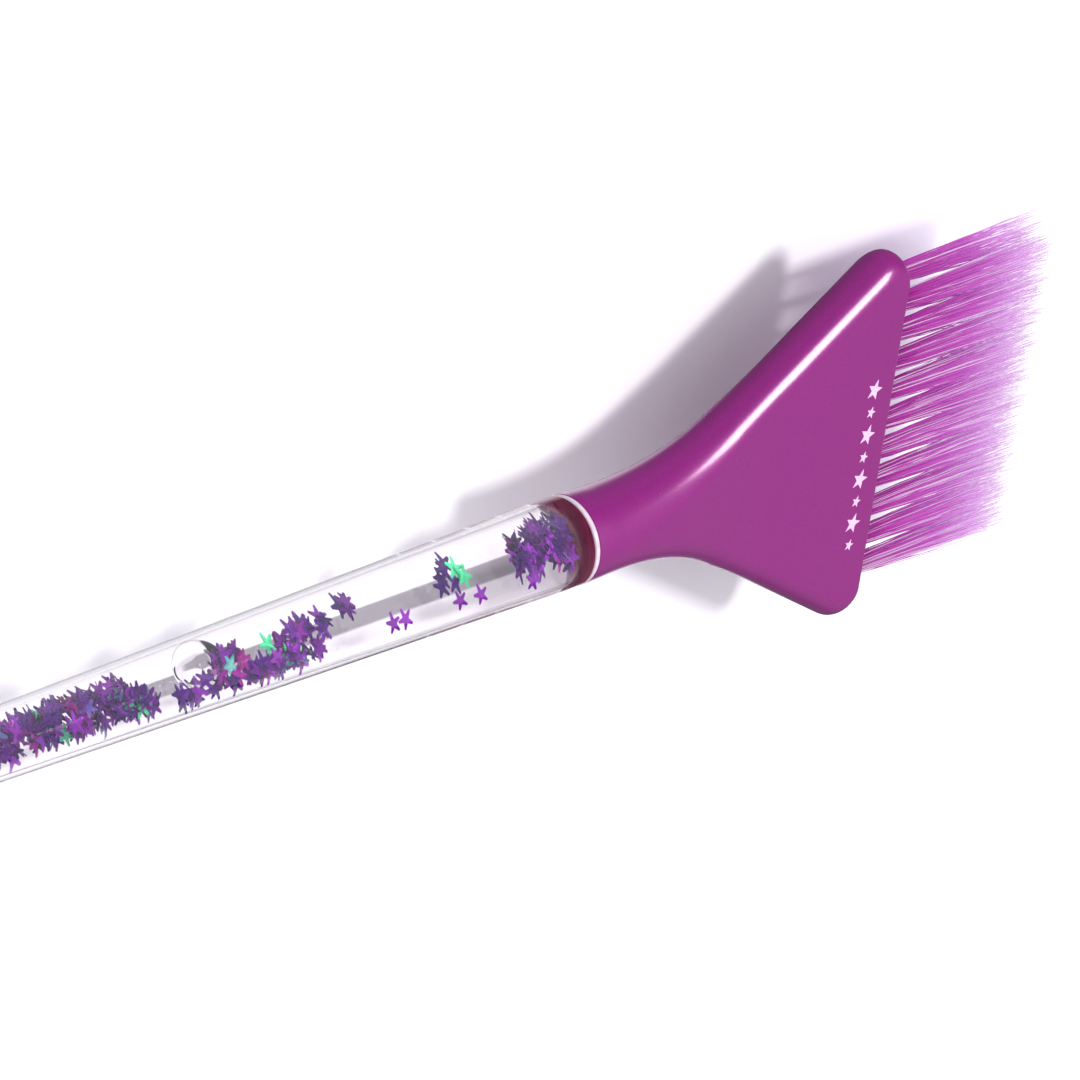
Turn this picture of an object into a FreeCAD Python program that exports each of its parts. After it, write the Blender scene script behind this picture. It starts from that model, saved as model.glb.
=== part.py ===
import FreeCAD, Part
import math
import os
import random
from FreeCAD import Vector

# Hair tint brush: a moulded paddle head on a clear, liquid-filled tube handle.
# Millimetres. +X runs along the brush from the tail to the bristle tips, +Y across the paddle,
# +Z up. The brush lies flat: the origin is under the middle of its length, on the surface it lies on.

# Driving dimensions
HEAD_WIDTH = 59.2
HEAD_LENGTH = 63.0
HEAD_THICKNESS = 7.2
NECK_RADIUS = 6.35
HANDLE_LENGTH = 130.0
BRISTLE_LENGTH = 35.0

# Handle tube
LAND_LENGTH = 4.0
TAIL_RADIUS = 3.5
BORE_RADIUS = 3.35
BORE_TAIL_RADIUS = 1.9
TAIL_WALL = 4.5
TENON_RADIUS = 4.9
TENON_LENGTH = 13.0
SOCKET_GAP = 0.05

# Trim ring between the tube's shoulder and the neck
RING_WIDTH = 0.7
RING_WALL = 0.55

# Stopper and its seal
STOPPER_GAP = 0.04
STOPPER_LENGTH = 12.0
STOPPER_CAP = 1.0
GROOVE_WIDTH = 1.5
GROOVE_RADIUS = 2.2
CUTTER_EXCESS = 1.0
O_RING_SECTION = 0.55

# Paddle plan: a straight flank, tangent arcs and rounded corners
FLANK_ANGLE = math.radians(31.8)
FLARE_RADIUS = 49.5
SHOULDER_RADIUS = 5.0
CORNER_RADIUS = 3.0
THINNING_LENGTH = 40.0
EDGE_ROUND = 0.9
NECK_FLAT = 0.02
FAN_SPANS = 16
LOFT_DEGREE = 3

# Tufts: two staggered rows of holes in the end face
TUFT_PITCH = 4.84
ROW_OFFSET = 1.53
FRONT_COUNT = 10
BACK_COUNT = 11
HOLE_RADIUS = 1.25
HOLE_DEPTH = 9.0
DRILL_CONE = 0.6
ROOT_GAP = 0.05
TUFT_TIP_RADIUS = 1.6
TUFT_TIP_ROUND = 0.8
TUFT_FACE_GAP = 0.1
ANCHOR_THICKNESS = 0.4
ANCHOR_LENGTH = 1.6
ANCHOR_WIDTH = 2.2

# Foil stars, the bubble and the liquid round them
STAR_POINTS = 5
STAR_RADIUS = 1.2
STAR_WAIST = 0.5
STAR_THICKNESS = 0.12
STAR_LAYER = 0.5
STAR_TILT = 7.0
STAR_SPACING = 2.55
STAR_WALL_GAP = 0.12
STARS_DOWN_ANGLE = math.radians(41.0)
LIQUID_STAR_GAP = 0.03
BUBBLE_X = -63.0
BUBBLE_HALF_LENGTH = 4.0
BUBBLE_RADIUS = 1.8
BUBBLE_OFFSET = 0.8

# Places along X, from the joint between tube and head
JOINT_X = (HANDLE_LENGTH - HEAD_LENGTH - BRISTLE_LENGTH) / 2
AXIS_Z = NECK_RADIUS
NECK_X = JOINT_X + RING_WIDTH
HEAD_END_X = JOINT_X + HEAD_LENGTH
TAIL_X = JOINT_X - HANDLE_LENGTH
LAND_X = JOINT_X - LAND_LENGTH
TENON_END_X = JOINT_X + TENON_LENGTH
BORE_BOTTOM_X = TAIL_X + TAIL_WALL
BORE_ROUND_X = BORE_BOTTOM_X + BORE_TAIL_RADIUS
HINGE_X = HEAD_END_X + TUFT_FACE_GAP + HOLE_RADIUS
TIP_X = HEAD_END_X + BRISTLE_LENGTH
X_AXIS = Vector(1, 0, 0)
STARS_DOWN = Vector(0, -math.cos(STARS_DOWN_ANGLE), -math.sin(STARS_DOWN_ANGLE))
STARS_SIDE = STARS_DOWN.cross(X_AXIS)
RANDOM = random.Random(7)


def on_axis(x, y=0.0, z=0.0):
    """A point given from the brush's long axis."""
    return Vector(x, y, AXIS_Z + z)


def cylinder(start, end, radius):
    """A round bar along the brush's axis."""
    return Part.makeCylinder(radius, end - start, on_axis(start), X_AXIS)


def ring(start, end, outer, inner):
    return cylinder(start, end, outer).cut(cylinder(start, end, inner))


def turned(profile):
    """A solid turned about the brush's axis from closed (x, radius) points and arcs."""
    face = Part.Face(Part.Wire(profile))
    return face.revolve(on_axis(0), X_AXIS, 360)


def line(start, end):
    return Part.LineSegment(on_axis(start[0], 0, start[1]), on_axis(end[0], 0, end[1])).toShape()


def arc(start, middle, end):
    points = [on_axis(p[0], 0, p[1]) for p in (start, middle, end)]
    return Part.Arc(*points).toShape()


def polyline(points):
    return [line(a, b) for a, b in zip(points, points[1:])]


# ---------------------------------------------------------------- paddle head


def half_thickness(x):
    """The neck thins smoothly to the paddle's flat faces, then rounds over at the end face."""
    share = min(x / THINNING_LENGTH, 1.0)
    blend = share * share * (3 - 2 * share)
    thick = NECK_RADIUS + (HEAD_THICKNESS / 2 - NECK_RADIUS) * blend
    into_round = max(x - (HEAD_LENGTH - EDGE_ROUND), 0.0)
    return thick - EDGE_ROUND + math.sqrt(EDGE_ROUND**2 - into_round**2)


CORNER_X = HEAD_LENGTH - CORNER_RADIUS
SHOULDER_X = CORNER_X - SHOULDER_RADIUS * math.sin(FLANK_ANGLE)


def flare_span():
    """The rim's centre line leaves the axis on an arc between these two stations, tangent to the flank."""
    side_meets = CORNER_X - SHOULDER_RADIUS * math.tan(FLANK_ANGLE / 2)
    rim_offset = (HEAD_WIDTH - HEAD_THICKNESS / math.cos(FLANK_ANGLE)) / 2
    flank_zero = side_meets - rim_offset / math.tan(FLANK_ANGLE)
    reach = FLARE_RADIUS * math.tan(FLANK_ANGLE / 2)
    return flank_zero - reach, flank_zero + reach * math.cos(FLANK_ANGLE)


def half_width(x):
    """The paddle's plan: a flare arc off the neck, a straight flank, a shoulder arc and a round corner."""
    side = HEAD_WIDTH / 2
    if x > CORNER_X:
        return side - CORNER_RADIUS + math.sqrt(max(CORNER_RADIUS**2 - (x - CORNER_X) ** 2, 0.0))
    if x > SHOULDER_X:
        return side - SHOULDER_RADIUS + math.sqrt(SHOULDER_RADIUS**2 - (CORNER_X - x) ** 2)
    flare_start, flare_end = flare_span()
    sine = min(max(x - flare_start, 0.0) / FLARE_RADIUS, math.sin(FLANK_ANGLE))
    cosine = math.sqrt(1 - sine**2)
    rim = FLARE_RADIUS * (1 - cosine) + max(x - flare_end, 0.0) * math.tan(FLANK_ANGLE)
    return rim + half_thickness(x) / cosine


def head_section(x):
    """A stadium across the head: flat top and bottom with half-round sides."""
    radius = half_thickness(x)
    straight = max(half_width(x) - radius, NECK_FLAT)
    place = JOINT_X + x

    def at(y, z):
        return on_axis(place, y, z)

    top = Part.LineSegment(at(-straight, radius), at(straight, radius))
    right = Part.Arc(at(straight, radius), at(straight + radius, 0), at(straight, -radius))
    bottom = Part.LineSegment(at(straight, -radius), at(-straight, -radius))
    left = Part.Arc(at(-straight, -radius), at(-straight - radius, 0), at(-straight, radius))
    return Part.Wire([curve.toShape() for curve in (top, right, bottom, left)])


def head_stations():
    """Where the sections stand: even along the fan, closer round the shoulder, corner and end edge."""
    fan = [RING_WIDTH + (SHOULDER_X - RING_WIDTH) * i / FAN_SPANS for i in range(FAN_SPANS)]
    shoulder = [CORNER_X - SHOULDER_RADIUS * math.sin(FLANK_ANGLE * i / 3) for i in (3, 2, 1)]
    corner = [CORNER_X + CORNER_RADIUS * math.sin(math.radians(a)) for a in (0, 18, 36, 54, 68, 80, 90)]
    return fan + shoulder + corner


def head_blank():
    sections = [head_section(x) for x in head_stations()]
    return Part.makeLoft(sections, True, False, False, LOFT_DEGREE)


def tuft_places():
    """Each tuft's row name, number, Y and height from the paddle's middle plane."""
    for row, count, height in (("front", FRONT_COUNT, ROW_OFFSET), ("back", BACK_COUNT, -ROW_OFFSET)):
        for index in range(count):
            yield row, index + 1, ((count - 1) / 2 - index) * TUFT_PITCH, height


def tuft_hole(y, z):
    mouth = on_axis(HEAD_END_X, y, z)
    straight = Part.makeCylinder(HOLE_RADIUS, HOLE_DEPTH, mouth, -X_AXIS)
    bottom = Part.makeCone(HOLE_RADIUS, 0, DRILL_CONE, mouth - X_AXIS * HOLE_DEPTH, -X_AXIS)
    return straight.fuse(bottom)


def brush_head():
    socket = cylinder(JOINT_X, TENON_END_X + STOPPER_CAP + SOCKET_GAP, TENON_RADIUS + SOCKET_GAP)
    holes = [tuft_hole(y, z) for _, _, y, z in tuft_places()]
    return head_blank().cut([socket] + holes)


# ---------------------------------------------------------------- handle


def tail_arc(radius, start_x, end_x):
    """Three points of a round end from the wall at start_x to the axis at end_x."""
    depth = start_x - end_x
    middle = (start_x - depth * math.sin(math.pi / 4), radius * math.cos(math.pi / 4))
    return (start_x, radius), middle, (end_x, 0)


def bore_wall(x):
    """The bore's radius: straight beside the joint, then tapering with the tube."""
    share = min(max((LAND_X - x) / (LAND_X - BORE_ROUND_X), 0.0), 1.0)
    return BORE_RADIUS + (BORE_TAIL_RADIUS - BORE_RADIUS) * share


def bore_outline(open_end):
    """The bore from its round bottom to open_end, as a turned solid."""
    straight = [(BORE_BOTTOM_X, 0), (open_end, 0), (open_end, BORE_RADIUS), (LAND_X, BORE_RADIUS)]
    edges = polyline(straight + [(BORE_ROUND_X, BORE_TAIL_RADIUS)])
    edges.append(arc(*tail_arc(BORE_TAIL_RADIUS, BORE_ROUND_X, BORE_BOTTOM_X)))
    return turned(edges)


def handle_tube():
    """Thick clear tube: straight land by the joint, long taper, round tail and a stepped tenon."""
    round_x = TAIL_X + TAIL_RADIUS
    edges = polyline(
        [
            (TAIL_X, 0),
            (TENON_END_X, 0),
            (TENON_END_X, TENON_RADIUS),
            (JOINT_X, TENON_RADIUS),
            (JOINT_X, NECK_RADIUS),
            (LAND_X, NECK_RADIUS),
            (round_x, TAIL_RADIUS),
        ]
    )
    edges.append(arc(*tail_arc(TAIL_RADIUS, round_x, TAIL_X)))
    return turned(edges).cut(bore_outline(TENON_END_X))


def joint_ring():
    """Narrow pale ring bedded at the rim between the shoulder and the neck."""
    return ring(JOINT_X, NECK_X, NECK_RADIUS, NECK_RADIUS - RING_WALL)


STOPPER_X = TENON_END_X - STOPPER_LENGTH
GROOVE_X = STOPPER_X + STOPPER_LENGTH / 3


def chamber_stopper():
    """Plug in the tenon's bore, with a cap that seats on the tenon's end and a groove for the seal."""
    plug = cylinder(STOPPER_X, TENON_END_X, BORE_RADIUS - STOPPER_GAP)
    cap = cylinder(TENON_END_X, TENON_END_X + STOPPER_CAP, TENON_RADIUS)
    groove = ring(GROOVE_X, GROOVE_X + GROOVE_WIDTH, BORE_RADIUS + CUTTER_EXCESS, GROOVE_RADIUS)
    return plug.fuse(cap).cut(groove).removeSplitter()


def stopper_o_ring():
    centre_radius = BORE_RADIUS - STOPPER_GAP / 2 - O_RING_SECTION
    return Part.makeTorus(centre_radius, O_RING_SECTION, on_axis(GROOVE_X + GROOVE_WIDTH / 2), X_AXIS)


# ---------------------------------------------------------------- liquid, bubble and stars


def star(centre, tilt, turn, grow=0.0):
    """A five-pointed foil star whose face leans a little off the way down."""
    radius = STAR_RADIUS + grow
    thickness = STAR_THICKNESS + 2 * grow
    points = []
    for corner in range(2 * STAR_POINTS):
        reach = radius if corner % 2 == 0 else STAR_WAIST + grow
        angle = math.radians(turn + 180 / STAR_POINTS * corner)
        points.append(Vector(reach * math.cos(angle), reach * math.sin(angle), -thickness / 2))
    points.append(points[0])
    flat = Part.Face(Part.makePolygon(points)).extrude(Vector(0, 0, thickness))
    lean_axis = Vector(math.cos(math.radians(tilt[1])), math.sin(math.radians(tilt[1])), 0)
    lean = FreeCAD.Rotation(lean_axis, tilt[0])
    facing = FreeCAD.Rotation(Vector(0, 0, -1), STARS_DOWN)
    flat.Placement = FreeCAD.Placement(centre, facing.multiply(lean))
    return flat


def heap(chance, start, end, layers):
    """Stars in loose layers on the low side of the bore, between two places measured from the joint."""
    stars = []
    for layer in range(layers):
        x = start + STAR_SPACING / 2 * (layer % 2)
        while x < end:
            room = bore_wall(JOINT_X + x) - STAR_WALL_GAP
            height = math.sqrt(room**2 - STAR_RADIUS**2) - STAR_LAYER * (layer + 0.5)
            spare = math.sqrt(room**2 - (abs(height) + STAR_LAYER / 2) ** 2) - STAR_RADIUS
            lanes = (-spare, spare) if spare > STAR_SPACING / 2 else (RANDOM.uniform(-spare, spare),)
            for offset in lanes:
                tilt = (RANDOM.uniform(0, STAR_TILT), RANDOM.uniform(0, 360))
                centre = on_axis(JOINT_X + x) + STARS_DOWN * height + STARS_SIDE * offset
                if RANDOM.random() < chance:
                    stars.append((centre, tilt, RANDOM.uniform(0, 360 / STAR_POINTS)))
            x += STAR_SPACING
    return stars


def star_groups():
    """Each loose group along the tube, as its stars' places."""
    return {
        "stars_tail_heap": heap(0.95, -121.0, -68.7, 3),
        "stars_middle_heap": heap(0.85, -57.5, -36.0, 3),
        "stars_drifting": heap(0.35, -32.5, -15.0, 5),
        "stars_joint_cluster": heap(0.95, -11.0, -1.5, 8),
    }


def bubble():
    """Trapped air: a long round-ended void near the upper side of the bore."""
    centre_x = JOINT_X + BUBBLE_X
    half = Part.Ellipse(on_axis(centre_x), BUBBLE_HALF_LENGTH, BUBBLE_RADIUS)
    half.rotate(FreeCAD.Placement(on_axis(centre_x), FreeCAD.Rotation(X_AXIS, 90), Vector(0, 0, 0)))
    along_axis = line((centre_x - BUBBLE_HALF_LENGTH, 0), (centre_x + BUBBLE_HALF_LENGTH, 0))
    return turned([half.toShape(0, math.pi), along_axis]).translated(Vector(0, BUBBLE_OFFSET, 0))


def liquid_fill(groups):
    """Clear oil that fills the chamber round the bubble and every star."""
    cavities = [star(*placed, grow=LIQUID_STAR_GAP) for stars in groups.values() for placed in stars]
    return bore_outline(STOPPER_X).cut([bubble()] + cavities)


# ---------------------------------------------------------------- bristles


def anchor(y, z):
    """Flat metal staple across the bottom of the hole, with the filaments folded over it."""
    corner = on_axis(HEAD_END_X - HOLE_DEPTH, y - ANCHOR_WIDTH / 2, z - ANCHOR_THICKNESS / 2)
    return Part.makeBox(ANCHOR_LENGTH, ANCHOR_WIDTH, ANCHOR_THICKNESS, corner)


def tuft_root(y, z):
    """The folded filaments inside the hole, round the anchor."""
    bottom = on_axis(HEAD_END_X - HOLE_DEPTH, y, z)
    packed = Part.makeCylinder(HOLE_RADIUS - ROOT_GAP, HOLE_DEPTH, bottom, X_AXIS)
    return packed.cut(anchor(y, z))


def free_tuft(y, z):
    """The tuft outside the head: a half-ball at its bending line, then a slowly widening bundle."""
    ball = Part.makeSphere(HOLE_RADIUS, on_axis(HINGE_X, y, z))
    bundle = Part.makeCone(HOLE_RADIUS, TUFT_TIP_RADIUS, TIP_X - HINGE_X, on_axis(HINGE_X, y, z), X_AXIS)
    tip_edges = [edge for edge in bundle.Edges if edge.CenterOfMass.x > TIP_X - TUFT_TIP_ROUND]
    return bundle.makeFillet(TUFT_TIP_ROUND, tip_edges).fuse(ball).removeSplitter()


# ---------------------------------------------------------------- all nodes


def row_group(shape_of, row):
    return Part.makeCompound([shape_of(y, z) for name, _, y, z in tuft_places() if name == row])


def nodes():
    groups = star_groups()
    yield "brush_head", brush_head()
    yield "handle_tube", handle_tube()
    yield "joint_ring", joint_ring()
    yield "chamber_stopper", chamber_stopper()
    yield "stopper_o_ring", stopper_o_ring()
    yield "liquid_fill", liquid_fill(groups)
    for name, stars in groups.items():
        yield name, Part.makeCompound([star(*placed) for placed in stars])
    for row in ("front", "back"):
        yield "anchors_" + row, row_group(anchor, row)
        yield "tuft_roots_" + row, row_group(tuft_root, row)
    for row, number, y, z in tuft_places():
        yield f"tuft_{row}_{number:02d}", free_tuft(y, z)


os.makedirs("parts", exist_ok=True)
for node_name, shape in nodes():
    shape.exportStep(f"parts/{node_name}.step")
    box = shape.BoundBox
    size = f"{box.XLength:6.1f} x {box.YLength:5.1f} x {box.ZLength:5.1f}"
    print(f"{node_name:20s} solids {len(shape.Solids):3d}  valid {shape.isValid()}  {size}  {shape.Volume:8.1f}")
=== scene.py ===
import math
import random

import bmesh
import bpy
from mathutils import Matrix, Vector


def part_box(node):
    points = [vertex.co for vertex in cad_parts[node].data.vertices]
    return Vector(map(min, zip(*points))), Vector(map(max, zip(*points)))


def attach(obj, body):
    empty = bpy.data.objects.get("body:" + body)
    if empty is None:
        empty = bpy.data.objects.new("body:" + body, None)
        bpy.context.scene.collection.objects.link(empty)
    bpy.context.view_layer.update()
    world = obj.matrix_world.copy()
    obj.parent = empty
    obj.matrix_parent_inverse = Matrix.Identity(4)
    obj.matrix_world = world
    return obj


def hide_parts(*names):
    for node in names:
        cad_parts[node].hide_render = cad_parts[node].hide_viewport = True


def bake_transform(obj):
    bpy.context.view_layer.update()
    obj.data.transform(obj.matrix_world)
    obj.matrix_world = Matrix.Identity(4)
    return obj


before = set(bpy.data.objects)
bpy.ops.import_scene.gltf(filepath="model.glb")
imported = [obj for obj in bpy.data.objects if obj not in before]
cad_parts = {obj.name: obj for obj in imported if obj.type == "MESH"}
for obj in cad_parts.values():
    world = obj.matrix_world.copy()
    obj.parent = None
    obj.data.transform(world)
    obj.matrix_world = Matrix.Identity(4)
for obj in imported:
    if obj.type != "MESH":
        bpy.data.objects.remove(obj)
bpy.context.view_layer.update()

# A tint brush: moulded paddle, clear liquid-filled handle with foil stars, two rows of soft tufts.
# Metres. +X runs towards the bristle tips, +Y across the paddle, +Z out of its front face.

MM = 0.001
ROOT = "handle_and_head"
HEAD_END_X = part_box("brush_head")[1].x
RING_LOW, RING_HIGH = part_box("joint_ring")
TUBE_LOW, TUBE_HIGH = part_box("handle_tube")
LIQUID_LOW, LIQUID_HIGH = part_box("liquid_fill")

AXIS_Z = (RING_LOW.z + RING_HIGH.z) / 2
NECK_RADIUS = (RING_HIGH.z - RING_LOW.z) / 2
JOINT_X = RING_LOW.x
NECK_X = RING_HIGH.x
HEAD_LENGTH = HEAD_END_X - JOINT_X
TAIL_X = TUBE_LOW.x
TENON_END_X = TUBE_HIGH.x
LIQUID_END_X = LIQUID_HIGH.x

# Paddle shape
HALF_WIDTH = 29.6 * MM
FACE_HALF = 3.6 * MM
THINNING_LENGTH = 40 * MM
FLANK_ANGLE = math.radians(31.8)
FLARE_RADIUS = 49.5 * MM
SHOULDER_RADIUS = 5.0 * MM
CORNER_RADIUS = 3.0 * MM
EDGE_ROUND = 0.9 * MM
SOCKET_RADIUS = 4.95 * MM
SOCKET_END_X = TENON_END_X + 1.05 * MM
HOLE_RADIUS = 1.25 * MM
HOLE_DEPTH = 2.5 * MM
NECK_FLAT = 0.03 * MM
SIDE_STEPS = 36
FACE_STEPS = 12
FAN_STEPS = 90
SHOULDER_STEPS = 10
CORNER_STEPS = 28
CORNER_X = HEAD_LENGTH - CORNER_RADIUS
SHOULDER_X = CORNER_X - SHOULDER_RADIUS * math.sin(FLANK_ANGLE)

# Handle tube
LAND_X = JOINT_X - 4 * MM
TAIL_RADIUS = 3.5 * MM
TENON_RADIUS = 4.9 * MM
BORE_RADIUS = 3.35 * MM
BORE_TAIL_RADIUS = 1.9 * MM
BORE_BOTTOM_X = LIQUID_LOW.x
BORE_ROUND_X = BORE_BOTTOM_X + BORE_TAIL_RADIUS
EDGE_BREAK = 0.12 * MM
GLUE_LAP = 0.02 * MM
RING_BORE = 5.8 * MM
LIQUID_LAP = 0.02 * MM
RING_ROUND = 0.14 * MM
RING_SET_BACK = 0.10 * MM
TAPER_STEPS = 12
TURN_STEPS = 128

# Bubble in the liquid
BUBBLE_X = JOINT_X - 63 * MM
BUBBLE_LONG = 3.7 * MM
BUBBLE_WIDE = 2.12 * MM
BUBBLE_OFFSET = 0.42 * MM
BUBBLE_FULLER = 0.12
BUBBLE_FLAT = 0.94

# Foil stars
STAR_POINTS = 5
STAR_RADIUS = 1.2 * MM
STAR_WAIST = 0.50 * MM
STAR_TIP = 0.13 * MM
STAR_THICKNESS = 0.06 * MM
STAR_DISH = 0.04 * MM
STAR_WALL_GAP = 0.12 * MM
GREEN = 0.99
# mm from the joint, side and depth in the bore, foil tone
DRIFTING_STARS = [
    (-34.0, 0.80, -0.5, 0.42),
    (-32.0, 0.78, -0.5, 0.46),
    (-24.6, 0.12, -0.3, 0.05),
    (-24.0, -0.10, -0.2, 0.14),
    (-23.3, -0.32, -0.3, 0.10),
    (-22.3, -0.48, -0.1, 0.20),
    (-22.0, 0.06, -0.1, 0.12),
    (-21.5, -0.26, -0.3, GREEN),
    (-20.7, 0.06, -0.4, GREEN),
    (-22.7, 0.82, -0.5, 0.44),
    (-19.1, 0.92, -0.5, 0.50),
]
HEAP_DEPTH = (-0.55, 0.30)
DOWN_ANGLE = math.radians(41)
DOWN = Vector((0, -math.cos(DOWN_ANGLE), -math.sin(DOWN_ANGLE)))
ACROSS = DOWN.cross(Vector((1, 0, 0)))

# Printed row of stars on the face
PRINT_STARS = 8
PRINT_INSET = 4.8 * MM
PRINT_FROM = 9.5 * MM
PRINT_TO = -16.0 * MM
PRINT_LARGE = 1.7 * MM
PRINT_SMALL = 1.0 * MM
PRINT_WAIST = 0.42
PRINT_DEPTH = 0.02 * MM

# Bristles
FILAMENTS = 150
FILAMENT_RADIUS = 0.075 * MM
FILAMENT_RINGS = 9
FILAMENT_SIDES = 3
FILAMENT_TURN = math.radians(137.5)
FILAMENT_TAPER = 0.72
TAPER_FROM = 0.45
LONGEST = 1.03
LENGTH_LOSS = 0.12
FAN_GROWTH = 1.15
ROW_FLARE = 0.030
ROOT_DEPTH = 0.9 * MM
PACK_RADIUS = 1.14 * MM
# Filaments spread this much as soon as they leave the hole
ROOT_SWELL = 0.32
SWELL_SHARE = 0.22

# Camera, looking down on the paddle's front face from the handle's side
CAMERA_TARGET = Vector((JOINT_X - 2.3 * MM, -0.15 * MM, AXIS_Z - 2.2 * MM))
CAMERA_BACK = Vector((-0.646, 0.462, 0.608))
CAMERA_UP = Vector((0.256, 0.881, -0.397))
CAMERA_DISTANCE = 412.5 * MM
CAMERA_LENS = 102.1

# Studio: the paddle's flat face mirrors the dim side
DIM_SIDE = (0.646, -0.462, 0.608)
WORLD_LEVEL = 1.02
WORLD_DIM_LEVEL = 0.80
HORIZON_LEVEL = 1.10
MIRRORED_LEVEL = 0.06
MIRRORED_DIM_SIDE = 0.22
FLOOR_DROP = 12 * MM
FLOOR_HALF = 3.0
OVERHEAD = Vector((0.08, 0.22, 0.56))
# Strip of floor painted with shade, standing in for the handle's shadow, that shows only through the clear
# handle
SHADE_Y = -13.3 * MM
SHADE_HALF = 3.2 * MM
SHADE_START = JOINT_X - 58 * MM
SHADE_END = JOINT_X + 19 * MM
SHADE_SOFT = 0.5 * MM
SHADE_FADE = 8 * MM
# Strip of floor that the handle mirrors at a grazing angle; reflections see the rest of the floor with
# painted shade
GRAZED_Y = -17 * MM
GRAZED_HALF = 24 * MM
GRAZED_FADE = 10 * MM


def on_axis(x, y=0.0, z=0.0):
    return Vector((x, y, AXIS_Z + z))


# ---------------------------------------------------------------- mesh helpers


def make_object(name, verts, faces, material, smooth=True):
    mesh = bpy.data.meshes.new(name)
    mesh.from_pydata([tuple(v) for v in verts], [], faces)
    mesh.update()
    if smooth:
        mesh.polygons.foreach_set("use_smooth", [True] * len(mesh.polygons))
    piece = bpy.data.objects.new(name, mesh)
    bpy.context.scene.collection.objects.link(piece)
    mesh.materials.append(material)
    return piece


def face_outwards(piece):
    work = bmesh.new()
    work.from_mesh(piece.data)
    bmesh.ops.recalc_face_normals(work, faces=work.faces)
    work.to_mesh(piece.data)
    work.free()


def sharpen(piece, degrees=35):
    piece.data.set_sharp_from_angle(angle=math.radians(degrees))


def skin(rings, close_start=True, close_end=True):
    """Quads between rings of equal length, with a flat face at each closed end."""
    count = len(rings[0])
    verts = [point for ring in rings for point in ring]
    faces = []
    for r in range(len(rings) - 1):
        for i in range(count):
            j = (i + 1) % count
            faces.append((r * count + i, r * count + j, (r + 1) * count + j, (r + 1) * count + i))
    if close_start:
        faces.append(tuple(reversed(range(count))))
    if close_end:
        last = (len(rings) - 1) * count
        faces.append(tuple(range(last, last + count)))
    return verts, faces


def turned(profile, steps=TURN_STEPS):
    """A surface turned about the brush's axis from (x, radius) points that start and end on it."""
    verts = [on_axis(profile[0][0])]
    for x, radius in profile[1:-1]:
        for i in range(steps):
            angle = 2 * math.pi * i / steps
            verts.append(on_axis(x, radius * math.cos(angle), radius * math.sin(angle)))
    verts.append(on_axis(profile[-1][0]))
    faces = []
    for i in range(steps):
        faces.append((0, 1 + (i + 1) % steps, 1 + i))
    for r in range(len(profile) - 3):
        a, b = 1 + r * steps, 1 + (r + 1) * steps
        for i in range(steps):
            j = (i + 1) % steps
            faces.append((a + i, a + j, b + j, b + i))
    end, last = len(verts) - 1, 1 + (len(profile) - 3) * steps
    for i in range(steps):
        faces.append((last + i, last + (i + 1) % steps, end))
    return verts, faces


def round_end(x_wall, x_tip, radius, steps=16):
    """Profile points of a round end, from near the axis at x_tip out to the wall at x_wall."""
    points = []
    for i in range(1, steps + 1):
        angle = math.pi / 2 * i / steps
        points.append((x_wall - (x_wall - x_tip) * math.cos(angle), radius * math.sin(angle)))
    return points


# ---------------------------------------------------------------- materials


def new_material(name):
    material = bpy.data.materials.new(name)
    material.use_nodes = True
    tree = material.node_tree
    return material, tree, tree.nodes["Principled BSDF"]


def noise(tree, scale, detail=3.0, roughness=0.5, stretch=None):
    coords = tree.nodes.new("ShaderNodeTexCoord")
    texture = tree.nodes.new("ShaderNodeTexNoise")
    texture.inputs["Scale"].default_value = scale
    texture.inputs["Detail"].default_value = detail
    texture.inputs["Roughness"].default_value = roughness
    source = coords.outputs["Object"]
    if stretch:
        mapping = tree.nodes.new("ShaderNodeMapping")
        mapping.inputs["Scale"].default_value = stretch
        tree.links.new(source, mapping.inputs["Vector"])
        source = mapping.outputs["Vector"]
    tree.links.new(source, texture.inputs["Vector"])
    return texture.outputs["Fac"]


def ramp(tree, source, stops):
    node = tree.nodes.new("ShaderNodeValToRGB")
    elements = node.color_ramp.elements
    while len(elements) < len(stops):
        elements.new(0.5)
    for element, (place, colour) in zip(elements, stops):
        element.position = place
        element.color = (*colour, 1.0)
    tree.links.new(source, node.inputs["Fac"])
    return node.outputs["Color"]


def spread(tree, source, low, high):
    """A 0 to 1 value mapped to low..high, for roughness and the like."""
    node = tree.nodes.new("ShaderNodeMapRange")
    node.inputs["To Min"].default_value = low
    node.inputs["To Max"].default_value = high
    tree.links.new(source, node.inputs["Value"])
    return node.outputs["Result"]


def graded(tree, source, start, end, first, last):
    """A value that eases from first at start to last at end."""
    node = tree.nodes.new("ShaderNodeMapRange")
    node.interpolation_type = "SMOOTHSTEP"
    node.inputs["From Min"].default_value = start
    node.inputs["From Max"].default_value = end
    node.inputs["To Min"].default_value = first
    node.inputs["To Max"].default_value = last
    tree.links.new(source, node.inputs["Value"])
    return node.outputs["Result"]


def product(tree, first, second):
    node = tree.nodes.new("ShaderNodeMath")
    node.operation = "MULTIPLY"
    tree.links.new(first, node.inputs[0])
    tree.links.new(second, node.inputs[1])
    return node.outputs["Value"]


def larger(tree, first, second):
    node = tree.nodes.new("ShaderNodeMath")
    node.operation = "MAXIMUM"
    tree.links.new(first, node.inputs[0])
    tree.links.new(second, node.inputs[1])
    return node.outputs["Value"]


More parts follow.
